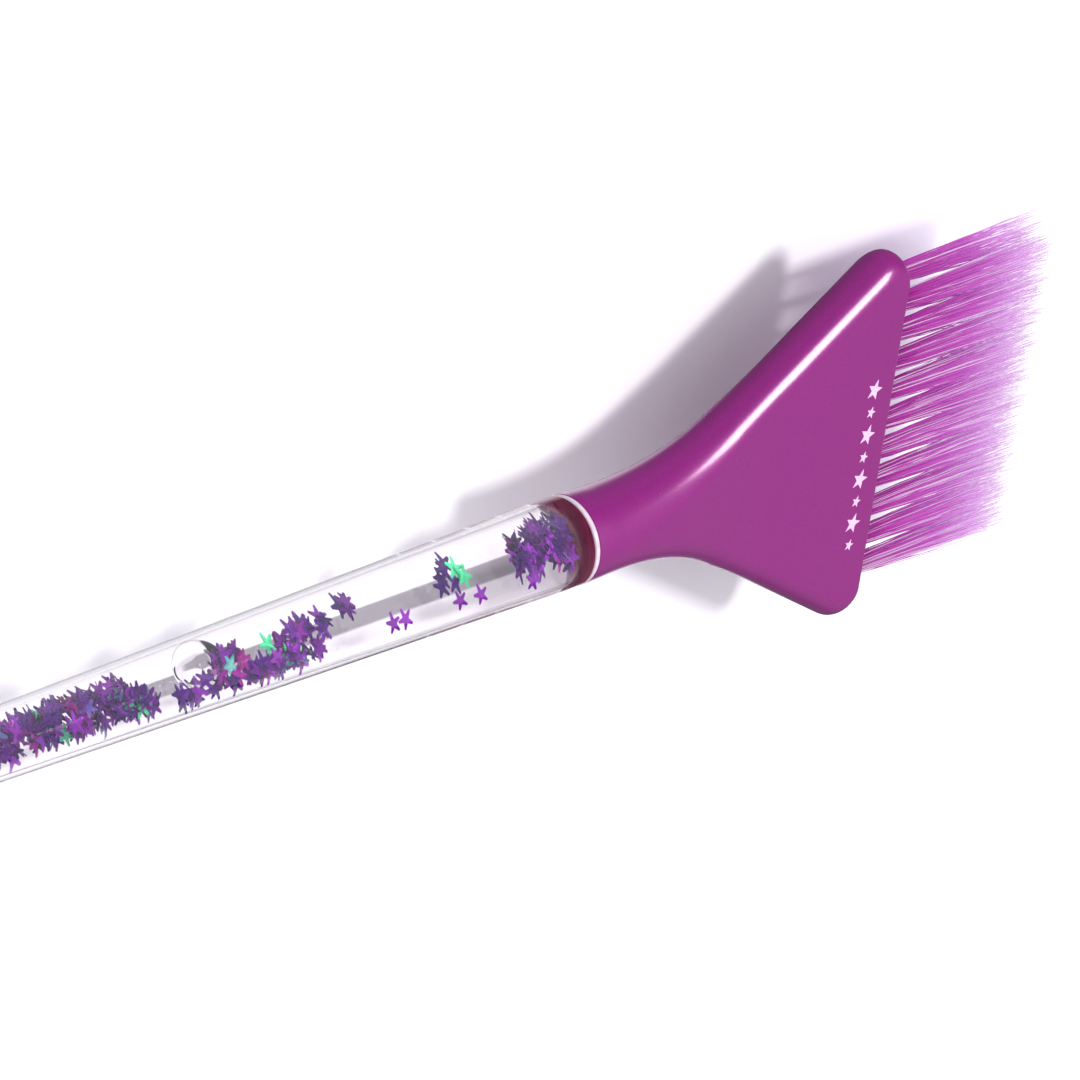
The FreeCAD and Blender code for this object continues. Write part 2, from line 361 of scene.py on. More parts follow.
def mixed(tree, first, second, share, blend="MIX"):
    """Two colours mixed. second is a colour or a socket, share a number or a socket."""
    node = tree.nodes.new("ShaderNodeMix")
    node.data_type = "RGBA"
    node.blend_type = blend
    tree.links.new(first, node.inputs["A"])
    if isinstance(second, tuple):
        node.inputs["B"].default_value = (*second, 1.0)
    else:
        tree.links.new(second, node.inputs["B"])
    if isinstance(share, float):
        node.inputs["Factor"].default_value = share
    else:
        tree.links.new(share, node.inputs["Factor"])
    return node.outputs["Result"]


def attribute_value(tree, name):
    node = tree.nodes.new("ShaderNodeAttribute")
    node.attribute_name = name
    return node.outputs["Fac"]


def distance_from(tree, source, place):
    offset = tree.nodes.new("ShaderNodeMath")
    offset.operation = "SUBTRACT"
    offset.inputs[1].default_value = place
    tree.links.new(source, offset.inputs[0])
    distance = tree.nodes.new("ShaderNodeMath")
    distance.operation = "ABSOLUTE"
    tree.links.new(offset.outputs["Value"], distance.inputs[0])
    return distance.outputs["Value"]


def mirrored(tree):
    """1 for a reflected ray, 0 for one that passed through glass or came straight."""
    path = tree.nodes.new("ShaderNodeLightPath")
    node = tree.nodes.new("ShaderNodeMath")
    node.operation = "SUBTRACT"
    node.use_clamp = True
    tree.links.new(path.outputs["Is Glossy Ray"], node.inputs[0])
    tree.links.new(path.outputs["Is Transmission Ray"], node.inputs[1])
    return node.outputs["Value"]


def soft_light(tree):
    """1 for a shadow ray or a diffuse ray, which carry the light that isn't seen itself."""
    path = tree.nodes.new("ShaderNodeLightPath")
    return larger(tree, path.outputs["Is Shadow Ray"], path.outputs["Is Diffuse Ray"])


def layered(tree, share, first, second):
    """Two shader outputs mixed by share, which is a number or a socket."""
    node = tree.nodes.new("ShaderNodeMixShader")
    if isinstance(share, float):
        node.inputs["Fac"].default_value = share
    else:
        tree.links.new(share, node.inputs["Fac"])
    tree.links.new(first, node.inputs[1])
    tree.links.new(second, node.inputs[2])
    return node.outputs["Shader"]


def transparent(tree, tint):
    node = tree.nodes.new("ShaderNodeBsdfTransparent")
    node.inputs["Color"].default_value = (*tint, 1.0)
    return node.outputs["BSDF"]


def bump(tree, shader, height, strength, distance):
    node = tree.nodes.new("ShaderNodeBump")
    node.inputs["Strength"].default_value = strength
    node.inputs["Distance"].default_value = distance
    tree.links.new(height, node.inputs["Height"])
    tree.links.new(node.outputs["Normal"], shader.inputs["Normal"])


def head_plastic():
    """Pearl purple moulding: fine metallic flake under a clear gloss."""
    material, tree, shader = new_material("head_plastic")
    flake = noise(tree, 5200, 2.0)
    colour = ramp(tree, flake, [(0.36, (0.262, 0.007, 0.190)), (0.64, (0.300, 0.012, 0.224))])
    tree.links.new(colour, shader.inputs["Base Color"])
    tree.links.new(spread(tree, noise(tree, 260, 4.0), 0.24, 0.34), shader.inputs["Roughness"])
    shader.inputs["Metallic"].default_value = 0.15
    shader.inputs["Coat Weight"].default_value = 0.8
    shader.inputs["Coat IOR"].default_value = 1.85
    shader.inputs["Coat Roughness"].default_value = 0.20
    return material


def see_through_shadow(tree, shader, tint):
    """Soft light passes to what is inside and below: it meets a plain tint instead of the glass."""
    surface = layered(tree, soft_light(tree), shader.outputs["BSDF"], transparent(tree, tint))
    tree.links.new(surface, tree.nodes["Material Output"].inputs["Surface"])


def clear_tube():
    """Polished acrylic with faint moulding waviness and hairline scuffs in its gloss."""
    material, tree, shader = new_material("clear_tube")
    shader.inputs["Base Color"].default_value = (0.985, 0.972, 0.980, 1.0)
    shader.inputs["Transmission Weight"].default_value = 1.0
    shader.inputs["IOR"].default_value = 1.49
    shader.inputs["Specular IOR Level"].default_value = 0.25
    scuff = noise(tree, 900, 6.0, 0.6, (0.15, 1.0, 1.0))
    tree.links.new(spread(tree, scuff, 0.0, 0.035), shader.inputs["Roughness"])
    bump(tree, shader, noise(tree, 70, 2.0, 0.4, (0.3, 1.0, 1.0)), 0.05, 0.02 * MM)
    see_through_shadow(tree, shader, (0.975, 0.970, 0.975))
    return material


def clear_liquid():
    material, tree, shader = new_material("clear_liquid")
    shader.inputs["Base Color"].default_value = (0.995, 0.985, 0.992, 1.0)
    shader.inputs["Transmission Weight"].default_value = 1.0
    shader.inputs["IOR"].default_value = 1.47
    # The wall around it has nearly the same index, so it reflects next to nothing head on
    shader.inputs["Specular IOR Level"].default_value = 0.0
    tree.links.new(spread(tree, noise(tree, 120, 2.0), 0.0, 0.01), shader.inputs["Roughness"])
    see_through_shadow(tree, shader, (0.985, 0.975, 0.985))
    return material


def ring_plastic():
    material, tree, shader = new_material("ring_plastic")
    colour = ramp(tree, noise(tree, 900), [(0.3, (0.80, 0.66, 0.76)), (0.7, (0.92, 0.84, 0.90))])
    tree.links.new(colour, shader.inputs["Base Color"])
    shader.inputs["Transmission Weight"].default_value = 0.25
    tree.links.new(spread(tree, noise(tree, 500), 0.15, 0.3), shader.inputs["Roughness"])
    return material


def star_foil():
    """Metallised film: each star keeps one colour of its own, with fine crinkle in the reflection."""
    material, tree, shader = new_material("star_foil")
    colour = ramp(
        tree,
        attribute_value(tree, "foil"),
        [
            (0.00, (0.040, 0.002, 0.130)),
            (0.20, (0.068, 0.003, 0.200)),
            (0.42, (0.175, 0.008, 0.310)),
            (0.58, (0.260, 0.012, 0.420)),
            (0.70, (0.100, 0.004, 0.270)),
            (0.84, (0.380, 0.010, 0.280)),
            (0.92, (0.220, 0.050, 0.580)),
            (0.98, (0.060, 0.620, 0.280)),
        ],
    )
    tree.links.new(colour, shader.inputs["Base Color"])
    shader.inputs["Metallic"].default_value = 0.45
    shader.inputs["Specular IOR Level"].default_value = 0.12
    tree.links.new(spread(tree, noise(tree, 1500, 3.0), 0.22, 0.42), shader.inputs["Roughness"])
    bump(tree, shader, noise(tree, 1100, 3.0), 0.25, 0.03 * MM)
    return material


def stopper_plastic(name="stopper_plastic"):
    """Dark wine-red plastic, with faint bands across it: the stopper's own colour, and painted shade where
    it covers the tenon.
    """
    material, tree, shader = new_material(name)
    bands = noise(tree, 500, 2.0, 0.5, (1.0, 0.15, 1.0))
    colour = ramp(tree, bands, [(0.35, (0.130, 0.004, 0.035)), (0.65, (0.260, 0.012, 0.070))])
    tree.links.new(colour, shader.inputs["Base Color"])
    shader.inputs["Specular IOR Level"].default_value = 0.08
    tree.links.new(spread(tree, noise(tree, 400), 0.35, 0.5), shader.inputs["Roughness"])
    bump(tree, shader, noise(tree, 1500), 0.1, 0.02 * MM)
    return material


def seal_rubber():
    material, tree, shader = new_material("seal_rubber")
    colour = ramp(tree, noise(tree, 1500), [(0.3, (0.012, 0.012, 0.013)), (0.7, (0.030, 0.029, 0.031))])
    tree.links.new(colour, shader.inputs["Base Color"])
    tree.links.new(spread(tree, noise(tree, 900), 0.45, 0.65), shader.inputs["Roughness"])
    bump(tree, shader, noise(tree, 2500), 0.2, 0.01 * MM)
    return material


def anchor_metal():
    material, tree, shader = new_material("anchor_metal")
    drawn = noise(tree, 3000, 3.0, 0.6, (1.0, 0.08, 1.0))
    colour = ramp(tree, drawn, [(0.3, (0.50, 0.50, 0.52)), (0.7, (0.68, 0.68, 0.69))])
    tree.links.new(colour, shader.inputs["Base Color"])
    shader.inputs["Metallic"].default_value = 1.0
    tree.links.new(spread(tree, drawn, 0.25, 0.45), shader.inputs["Roughness"])
    bump(tree, shader, drawn, 0.15, 0.01 * MM)
    return material


def bristle(name="bristle"):
    """Dyed translucent filament: magenta at the root, lilac along it, frosted pale at the flagged tip.
    Part of the light passes straight through, as it does between real filaments, and a faint glow stands
    for the light they hand on to each other."""
    material, tree, shader = new_material(name)
    tone = attribute_value(tree, "tone")
    dyed = ramp(
        tree,
        attribute_value(tree, "along"),
        [
            (0.00, (0.480, 0.040, 0.380)),
            (0.15, (0.640, 0.090, 0.540)),
            (0.50, (0.750, 0.200, 0.720)),
            (0.78, (0.900, 0.520, 0.940)),
            (1.00, (1.000, 0.950, 1.000)),
        ],
    )
    tint = ramp(tree, tone, [(0.0, (0.80, 0.60, 0.78)), (0.4, (1.0, 0.9, 1.0)), (1.0, (1.0, 1.0, 1.0))])
    tinted = mixed(tree, dyed, tint, 1.0, "MULTIPLY")
    frosted = graded(tree, tone, 0.78, 0.84, 0.0, 0.80)
    colour = mixed(tree, tinted, (0.97, 0.86, 0.99), frosted)
    tree.links.new(colour, shader.inputs["Base Color"])
    tree.links.new(spread(tree, noise(tree, 900, 2.0), 0.28, 0.42), shader.inputs["Roughness"])
    shader.inputs["Coat Weight"].default_value = 0.2
    tree.links.new(colour, shader.inputs["Emission Color"])
    shader.inputs["Emission Strength"].default_value = 0.30
    glow = tree.nodes.new("ShaderNodeBsdfTranslucent")
    tree.links.new(colour, glow.inputs["Color"])
    lit = layered(tree, 0.5, shader.outputs["BSDF"], glow.outputs["BSDF"])
    passed = spread(tree, soft_light(tree), 0.0, 0.85)
    whole = layered(tree, passed, lit, transparent(tree, (0.92, 0.88, 0.94)))
    tree.links.new(whole, tree.nodes["Material Output"].inputs["Surface"])
    return material


def print_ink():
    material, tree, shader = new_material("print_ink")
    colour = ramp(tree, noise(tree, 1800, 4.0), [(0.3, (0.74, 0.42, 0.72)), (0.7, (0.88, 0.62, 0.86))])
    tree.links.new(colour, shader.inputs["Base Color"])
    tree.links.new(spread(tree, noise(tree, 900), 0.35, 0.5), shader.inputs["Roughness"])
    return material


def floor_paper():
    """Pale paper. Reflected rays meet it near black and diffuse rays darker: painted shade, except that
    reflections keep the grazed strip. Through the clear handle one strip carries painted shade in place of
    the handle's shadow."""
    material, tree, shader = new_material("floor_paper")
    paper = ramp(tree, noise(tree, 40, 3.0), [(0.3, (0.90, 0.89, 0.92)), (0.7, (0.92, 0.91, 0.94))])
    coords = tree.nodes.new("ShaderNodeTexCoord")
    split = tree.nodes.new("ShaderNodeSeparateXYZ")
    tree.links.new(coords.outputs["Object"], split.inputs["Vector"])
    path = tree.nodes.new("ShaderNodeLightPath")
    # Painted shade: a soft grey strip, seen only by rays through the glass, stands in for the handle's
    # shadow
    from_shade = distance_from(tree, split.outputs["Y"], SHADE_Y)
    across = graded(tree, from_shade, SHADE_HALF - SHADE_SOFT, SHADE_HALF + SHADE_SOFT, 1.0, 0.0)
    start = graded(tree, split.outputs["X"], SHADE_START - SHADE_FADE, SHADE_START, 0.0, 1.0)
    end = graded(tree, split.outputs["X"], SHADE_END, SHADE_END + SHADE_FADE, 1.0, 0.0)
    strip = product(tree, across, product(tree, start, end))
    shade = product(tree, strip, path.outputs["Is Transmission Ray"])
    shaded = mixed(tree, paper, (0.30, 0.29, 0.32), shade)
    # Painted shade: reflected rays away from the grazed strip, and diffuse rays in part, see the floor near
    # black
    from_grazed = distance_from(tree, split.outputs["Y"], GRAZED_Y)
    away = graded(tree, from_grazed, GRAZED_HALF, GRAZED_HALF + GRAZED_FADE, 0.0, 1.0)
    reflected = product(tree, mirrored(tree), away)
    diffuse = spread(tree, path.outputs["Is Diffuse Ray"], 0.0, 0.55)
    colour = mixed(tree, shaded, (0.09, 0.07, 0.09), larger(tree, reflected, diffuse))
    tree.links.new(colour, shader.inputs["Base Color"])
    shader.inputs["Roughness"].default_value = 0.75
    return material


# ---------------------------------------------------------------- paddle head


def half_thickness(x):
    """The neck thins smoothly to the paddle's flat faces, then rounds over at the end face."""
    share = min(x / THINNING_LENGTH, 1.0)
    thick = NECK_RADIUS + (FACE_HALF - NECK_RADIUS) * share * share * (3 - 2 * share)
    into_round = max(x - (HEAD_LENGTH - EDGE_ROUND), 0.0)
    return thick - EDGE_ROUND + math.sqrt(max(EDGE_ROUND**2 - into_round**2, 0.0))


def flare_span():
    """The rim's centre line leaves the axis on an arc between these two stations, tangent to the flank."""
    side_meets = CORNER_X - SHOULDER_RADIUS * math.tan(FLANK_ANGLE / 2)
    rim_offset = HALF_WIDTH - FACE_HALF / math.cos(FLANK_ANGLE)
    flank_zero = side_meets - rim_offset / math.tan(FLANK_ANGLE)
    reach = FLARE_RADIUS * math.tan(FLANK_ANGLE / 2)
    return flank_zero - reach, flank_zero + reach * math.cos(FLANK_ANGLE)


def half_width(x):
    """The paddle's plan: a flare arc off the neck, a straight flank, a shoulder arc and a round corner."""
    if x > CORNER_X:
        return HALF_WIDTH - CORNER_RADIUS + math.sqrt(max(CORNER_RADIUS**2 - (x - CORNER_X) ** 2, 0.0))
    if x > SHOULDER_X:
        return HALF_WIDTH - SHOULDER_RADIUS + math.sqrt(SHOULDER_RADIUS**2 - (CORNER_X - x) ** 2)
    flare_start, flare_end = flare_span()
    sine = min(max(x - flare_start, 0.0) / FLARE_RADIUS, math.sin(FLANK_ANGLE))
    cosine = math.sqrt(1 - sine**2)
    rim = FLARE_RADIUS * (1 - cosine) + max(x - flare_end, 0.0) * math.tan(FLANK_ANGLE)
    return rim + half_thickness(x) / cosine


def stadium(x):
    """One ring of the paddle: half-round sides joined by flat faces."""
    radius = half_thickness(x)
    straight = max(half_width(x) - radius, NECK_FLAT)
    ring = []
    for side in (1, -1):
        for i in range(SIDE_STEPS):
            angle = math.pi * (i / SIDE_STEPS - 0.5)
            y = side * (straight + radius * math.cos(angle))
            ring.append(on_axis(JOINT_X + x, y, side * radius * math.sin(angle)))
        for i in range(FACE_STEPS):
            y = side * straight * (1 - 2 * i / FACE_STEPS)
            ring.append(on_axis(JOINT_X + x, y, side * radius))
    return ring


def circle_like(ring, x, radius):
    """A circle with one point for each point of a stadium ring, in the same directions."""
    points = []
    for point in ring:
        direction = Vector((0, point.y, point.z - AXIS_Z)).normalized() * radius
        points.append(on_axis(x, direction.y, direction.z))
    return points


def head_stations():
    """Where the rings stand, from the neck to the end face."""
    start = NECK_X - JOINT_X + EDGE_BREAK
    fan = [start + (SHOULDER_X - start) * i / FAN_STEPS for i in range(FAN_STEPS)]
    shoulder = [
        CORNER_X - SHOULDER_RADIUS * math.sin(FLANK_ANGLE * (1 - i / SHOULDER_STEPS))
        for i in range(SHOULDER_STEPS)
    ]
    corner = [
        CORNER_X + CORNER_RADIUS * math.sin(math.pi / 2 * i / CORNER_STEPS)
        for i in range(CORNER_STEPS + 1)
    ]
    return fan + shoulder + corner


def cut_holes(piece):
    """Cuts the mouth of every tuft hole into the end face."""
    work = bmesh.new()
    for y, z in tuft_places().values():
        turn = Matrix.Rotation(math.pi / 2, 4, "Y")
        place = Matrix.Translation(Vector((HEAD_END_X, y, z))) @ turn
        bmesh.ops.create_cone(
            work,
            cap_ends=True,
            segments=40,
            radius1=HOLE_RADIUS,
            radius2=HOLE_RADIUS,
            depth=2 * HOLE_DEPTH,
            matrix=place,
        )
    mesh = bpy.data.meshes.new("hole_cutter")
    work.to_mesh(mesh)
    work.free()
    cutter = bpy.data.objects.new("hole_cutter", mesh)
    bpy.context.scene.collection.objects.link(cutter)
    modifier = piece.modifiers.new("holes", "BOOLEAN")
    modifier.operation = "DIFFERENCE"
    modifier.solver = "EXACT"
    modifier.object = cutter
    graph = bpy.context.evaluated_depsgraph_get()
    cut = bpy.data.meshes.new_from_object(piece.evaluated_get(graph))
    piece.modifiers.clear()
    piece.data = cut
    bpy.data.objects.remove(cutter)


def brush_head(material):
    rings = [stadium(x) for x in head_stations()]
    first = rings[0]
    socket_floor = circle_like(first, SOCKET_END_X, SOCKET_RADIUS)
    socket_mouth = circle_like(first, NECK_X, SOCKET_RADIUS)
    neck_edge = circle_like(first, NECK_X, NECK_RADIUS - EDGE_BREAK)
    verts, faces = skin([socket_floor, socket_mouth, neck_edge] + rings)
    piece = make_object("paddle_head", verts, faces, material)
    face_outwards(piece)
    cut_holes(piece)
    sharpen(piece)
    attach(piece, ROOT)
    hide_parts("brush_head")
    return piece


def printed_stars(material):
    """A row of plain stars printed across the face near its end, large and small in turn."""
    verts, faces = [], []
    face_z = FACE_HALF + PRINT_DEPTH / 2
    for i in range(PRINT_STARS):
        y = PRINT_FROM + (PRINT_TO - PRINT_FROM) * i / (PRINT_STARS - 1)
        size = PRINT_SMALL if i % 2 else PRINT_LARGE
        rings = []
        for z in (face_z - PRINT_DEPTH, face_z + PRINT_DEPTH):
            ring = []
            for k in range(2 * STAR_POINTS):
                reach = size * (PRINT_WAIST if k % 2 else 1.0)
                angle = math.pi * k / STAR_POINTS
                x = HEAD_END_X - PRINT_INSET + reach * math.cos(angle)
                ring.append(on_axis(x, y + reach * math.sin(angle), z))
            rings.append(ring)
        star_verts, star_faces = skin(rings)
        faces += [tuple(len(verts) + v for v in face) for face in star_faces]
        verts += star_verts
    piece = make_object("printed_stars", verts, faces, material, smooth=False)
    face_outwards(piece)
    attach(piece, ROOT)
    return piece


# ---------------------------------------------------------------- handle


def handle_tube(material):
    """The clear tube: round tail, taper, straight land and joint, then back along the bore."""
    taper_x = TAIL_X + TAIL_RADIUS
    profile = [(TAIL_X, 0)] + round_end(taper_x, TAIL_X, TAIL_RADIUS)
    for i in range(1, TAPER_STEPS + 1):
        share = i / TAPER_STEPS
        radius = TAIL_RADIUS + (NECK_RADIUS - TAIL_RADIUS) * share
        profile.append((taper_x + (LAND_X - taper_x) * share, radius))
    profile += [
        (JOINT_X - EDGE_BREAK, NECK_RADIUS),
        (JOINT_X + GLUE_LAP, NECK_RADIUS - EDGE_BREAK),
        (JOINT_X + GLUE_LAP, RING_BORE),
        (NECK_X + GLUE_LAP, RING_BORE),
        (NECK_X + GLUE_LAP, BORE_RADIUS),
        (LAND_X, BORE_RADIUS),
    ]
    profile += list(reversed(round_end(BORE_ROUND_X, BORE_BOTTOM_X, BORE_TAIL_RADIUS)))
    profile.append((BORE_BOTTOM_X, 0))
    verts, faces = turned(profile)
    piece = make_object("clear_handle", verts, faces, material)
    face_outwards(piece)
    sharpen(piece)
    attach(piece, ROOT)
    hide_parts("handle_tube")
    return piece


def painted_shade_tenon(material):
    """The tube's tenon where it is glued into the neck, made opaque dark wine-red:
    painted shade that stands in for the shaded neck face seen through the clear tube.
    """
    inner, outer = BORE_RADIUS, TENON_RADIUS
    start, end, step = NECK_X, TENON_END_X, EDGE_BREAK
    outline = [(start, inner), (start, outer), (end - step, outer), (end, outer - step), (end, inner)]
    piece = ring_from("painted_shade_tenon", outline, material)
    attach(piece, ROOT)
    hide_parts("handle_tube")
    return piece


def ring_from(name, outline, material):
    """A closed ring turned from an outline of (x, radius) points."""
    rings = []
    for x, radius in outline:
        ring = []
        for i in range(TURN_STEPS):
            angle = 2 * math.pi * i / TURN_STEPS
            ring.append(on_axis(x, radius * math.cos(angle), radius * math.sin(angle)))
        rings.append(ring)
    verts, faces = skin(rings + [rings[0]], False, False)
    piece = make_object(name, verts, faces, material)
    work = bmesh.new()
    work.from_mesh(piece.data)
    bmesh.ops.remove_doubles(work, verts=work.verts, dist=1e-7)
    bmesh.ops.recalc_face_normals(work, faces=work.faces)
    work.to_mesh(piece.data)
    work.free()
    sharpen(piece)
    return piece


def bubble_surface():
    """An air pocket: a long ball, a little fuller at its head end and flattened where it meets the wall."""
    work = bmesh.new()
    bmesh.ops.create_uvsphere(work, u_segments=64, v_segments=40, radius=1.0)
    centre = on_axis(BUBBLE_X) - ACROSS * BUBBLE_OFFSET
    for vert in work.verts:
        along, side, up = vert.co.z, vert.co.x, vert.co.y
        fuller = 1 + BUBBLE_FULLER * along
        place = Vector((along * BUBBLE_LONG, 0, 0))
        place += ACROSS * side * BUBBLE_WIDE * fuller
        place -= DOWN * min(up, BUBBLE_FLAT) * BUBBLE_WIDE * fuller
        vert.co = centre + place
    bmesh.ops.recalc_face_normals(work, faces=work.faces)
    bmesh.ops.reverse_faces(work, faces=work.faces)
    return work


def liquid(material):
    """The liquid, lapped a little into the wall so that no air shows between them, with its bubble."""
    inner = [(BORE_BOTTOM_X - LIQUID_LAP, 0)]
    inner += round_end(BORE_ROUND_X, BORE_BOTTOM_X - LIQUID_LAP, BORE_TAIL_RADIUS + LIQUID_LAP)
    inner += [
        (LAND_X, BORE_RADIUS + LIQUID_LAP),
        (LIQUID_END_X + LIQUID_LAP, BORE_RADIUS + LIQUID_LAP),
        (LIQUID_END_X + LIQUID_LAP, 0),
    ]
    verts, faces = turned(inner)
    piece = make_object("clear_liquid", verts, faces, material)
    face_outwards(piece)
    work = bubble_surface()
    shell = bpy.data.meshes.new("bubble")
    work.to_mesh(shell)
    work.free()
    joined = bmesh.new()
    joined.from_mesh(piece.data)
    joined.from_mesh(shell)
    for face in joined.faces:
        face.smooth = True
    joined.to_mesh(piece.data)
    joined.free()
    bpy.data.meshes.remove(shell)
    sharpen(piece)
    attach(piece, ROOT)
    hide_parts("liquid_fill")
    return piece


def joint_ring(material):
    """The pale ring with a softly rounded outer edge."""
    width = NECK_X - JOINT_X
    profile = []
    for i in range(13):
        angle = math.pi * i / 12
        x = (JOINT_X + NECK_X) / 2 - width / 2 * math.cos(angle)
        profile.append((x, NECK_RADIUS - RING_SET_BACK + RING_ROUND * math.sin(angle)))
    profile += [(NECK_X, RING_BORE), (JOINT_X, RING_BORE)]
    piece = ring_from("pale_ring", profile, material)
    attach(piece, ROOT)
    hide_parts("joint_ring")
    return piece


# ---------------------------------------------------------------- foil stars


def bore_radius(x):
    share = min(max((LAND_X - x) / (LAND_X - BORE_ROUND_X), 0.0), 1.0)
    return BORE_RADIUS + (BORE_TAIL_RADIUS - BORE_RADIUS) * share


def star_outline():
    """Plan of a star with blunt tips, as (x, y) points."""
    points = []
    tip_turn = math.asin(STAR_TIP / STAR_RADIUS)
    corners = ((-tip_turn, STAR_RADIUS), (tip_turn, STAR_RADIUS), (math.pi / STAR_POINTS, STAR_WAIST))
    for arm in range(STAR_POINTS):
        angle = 2 * math.pi * arm / STAR_POINTS
        for turn, reach in corners:
            points.append((reach * math.cos(angle + turn), reach * math.sin(angle + turn)))
    return points


def star_shape(placement):
    """Vertices and faces of one star, slightly dished."""
    outline = star_outline()
    count = len(outline)
    verts, faces = [], []
    for side in (1, -1):
        for x, y in outline:
            verts.append(placement @ Vector((x, y, side * STAR_THICKNESS / 2)))
    top, bottom = len(verts), len(verts) + 1
    verts.append(placement @ Vector((0, 0, STAR_THICKNESS / 2 + STAR_DISH)))
    verts.append(placement @ Vector((0, 0, -STAR_THICKNESS / 2 + STAR_DISH)))
    for i in range(count):
        j = (i + 1) % count
        faces += [(top, i, j), (bottom, count + j, count + i), (i, count + i, count + j, j)]
    return verts, faces


def place_star(rng, x, side, depth, flatness, lie=None):
    """One star at x. side and depth are shares of the bore's radius, across the heap and down into it.
    flatness 1 lays it against the wall, or square to lie, and 0 leaves it at any angle."""
    room = bore_radius(x) - STAR_WALL_GAP
    offset, height = side * room, depth * room
    reach = math.hypot(offset, height)
    limit = room - STAR_RADIUS**2 / (2 * room) * (0.55 + 0.45 * flatness)
    if reach > limit:
        offset, height = offset * limit / reach, height * limit / reach
    radial = (DOWN * height + ACROSS * offset).normalized()
    loose = Vector((rng.gauss(0, 0.6), rng.gauss(0, 1), rng.gauss(0, 1))).normalized()
    if reach > room - STAR_RADIUS * 0.8:
        flatness = max(flatness, 0.5)
    normal = ((lie or radial) * flatness + loose * (1 - flatness)).normalized()
    turn = normal.to_track_quat("Z", "X").to_matrix().to_4x4()
    spin = Matrix.Rotation(rng.uniform(0, 2 * math.pi), 4, "Z")
    centre = on_axis(x) + DOWN * height + ACROSS * offset
    return Matrix.Translation(centre) @ turn @ spin


def star_piece(name, stars, material, node):
    """One mesh from (placement, foil tone) pairs."""
    verts, faces, tones = [], [], []
    for placement, tone in stars:
        star_verts, star_faces = star_shape(placement)
        base = len(verts)
        verts += star_verts
        faces += [tuple(base + v for v in face) for face in star_faces]
        tones += [tone] * len(star_verts)
    piece = make_object(name, verts, faces, material, smooth=False)
    face_outwards(piece)
    attribute = piece.data.attributes.new("foil", "FLOAT", "POINT")
    attribute.data.foreach_set("value", tones)
    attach(piece, ROOT)
    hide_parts(node)
    return piece


def settled(rng, count, start, end, band, flatness=0.72):
    """Stars heaped between start and end (mm from the joint). band(share) gives the sides between which
    they lie."""
    stars = []
    for _ in range(count):
        share = rng.random()
        low, high = band(share)
        side = rng.uniform(low, high)
        wall = math.sqrt(max(1 - side**2, 0.0))
        depth = wall * rng.uniform(*HEAP_DEPTH)
        x = JOINT_X + (start + (end - start) * share) * MM
        stars.append((place_star(rng, x, side, depth, flatness, DOWN), rng.random()))
    return stars


def tail_heap(rng):
    """The dense heap from the tail on, with the slope that ends it."""
    heap = settled(rng, 380, -121.0, -74.0, lambda s: (-0.54, 0.56), 0.45)
    slope = settled(rng, 34, -75.0, -70.5, lambda s: (-0.50 + 0.8 * s, 0.60), 0.5)
    return heap + slope


def middle_heap(rng):
    """The looser heap past the bubble: its start, ridge and crest, the skirt below and one green star."""
    start = settled(rng, 9, -61.0, -57.0, lambda s: (-0.28, 0.34), 0.6)
    ridge = settled(rng, 22, -51.8, -43.2, lambda s: (-0.24 - 0.12 * s, 0.10), 0.6)
    crest = settled(rng, 5, -40.2, -39.0, lambda s: (-0.50, -0.24), 0.6)
    skirt = settled(rng, 54, -68.0, -45.4, lambda s: (0.44, 0.74), 0.6)
    green = (place_star(rng, JOINT_X - 52.8 * MM, -0.04, -0.2, 0.9, DOWN), GREEN)
    return start + ridge + crest + skirt + [green]


def drifting(rng):
    """The few stars between the heaps, each in a place of its own."""
    stars = []
    for x, side, depth, tone in DRIFTING_STARS:
        stars.append((place_star(rng, JOINT_X + x * MM, side, depth, 0.82, DOWN), tone))
    return stars


def joint_cluster(rng):
    """The ball of stars by the stopper, and one that has dropped out of it."""
    stars = []
    for _ in range(92):
        x = rng.uniform(-11.2, -1.6)
        swell = min((x + 13.5) / 5.5, 1.0)
        side = rng.uniform(-0.64, 0.56) * swell
        depth = rng.uniform(*HEAP_DEPTH)
        stars.append((place_star(rng, JOINT_X + x * MM, side, depth, 0.5, DOWN), rng.random() * 0.97))
    stars.append((place_star(rng, JOINT_X - 9.8 * MM, 0.94, -0.3, 0.9, DOWN), 0.45))
    return stars


def stars(material):
    rng = random.Random(11)
    star_piece("tail_heap_stars", tail_heap(rng), material, "stars_tail_heap")
    star_piece("middle_heap_stars", middle_heap(rng), material, "stars_middle_heap")
    star_piece("drifting_stars", drifting(rng), material, "stars_drifting")
    star_piece("joint_cluster_stars", joint_cluster(rng), material, "stars_joint_cluster")


# ---------------------------------------------------------------- bristles


def tuft_places():
    """Y and Z of each tuft's middle, by CAD node."""
    places = {}
    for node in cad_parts:
        if node.startswith(("tuft_front", "tuft_back")):
            low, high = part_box(node)
            places[node] = ((low.y + high.y) / 2, (low.z + high.z) / 2)
    return places


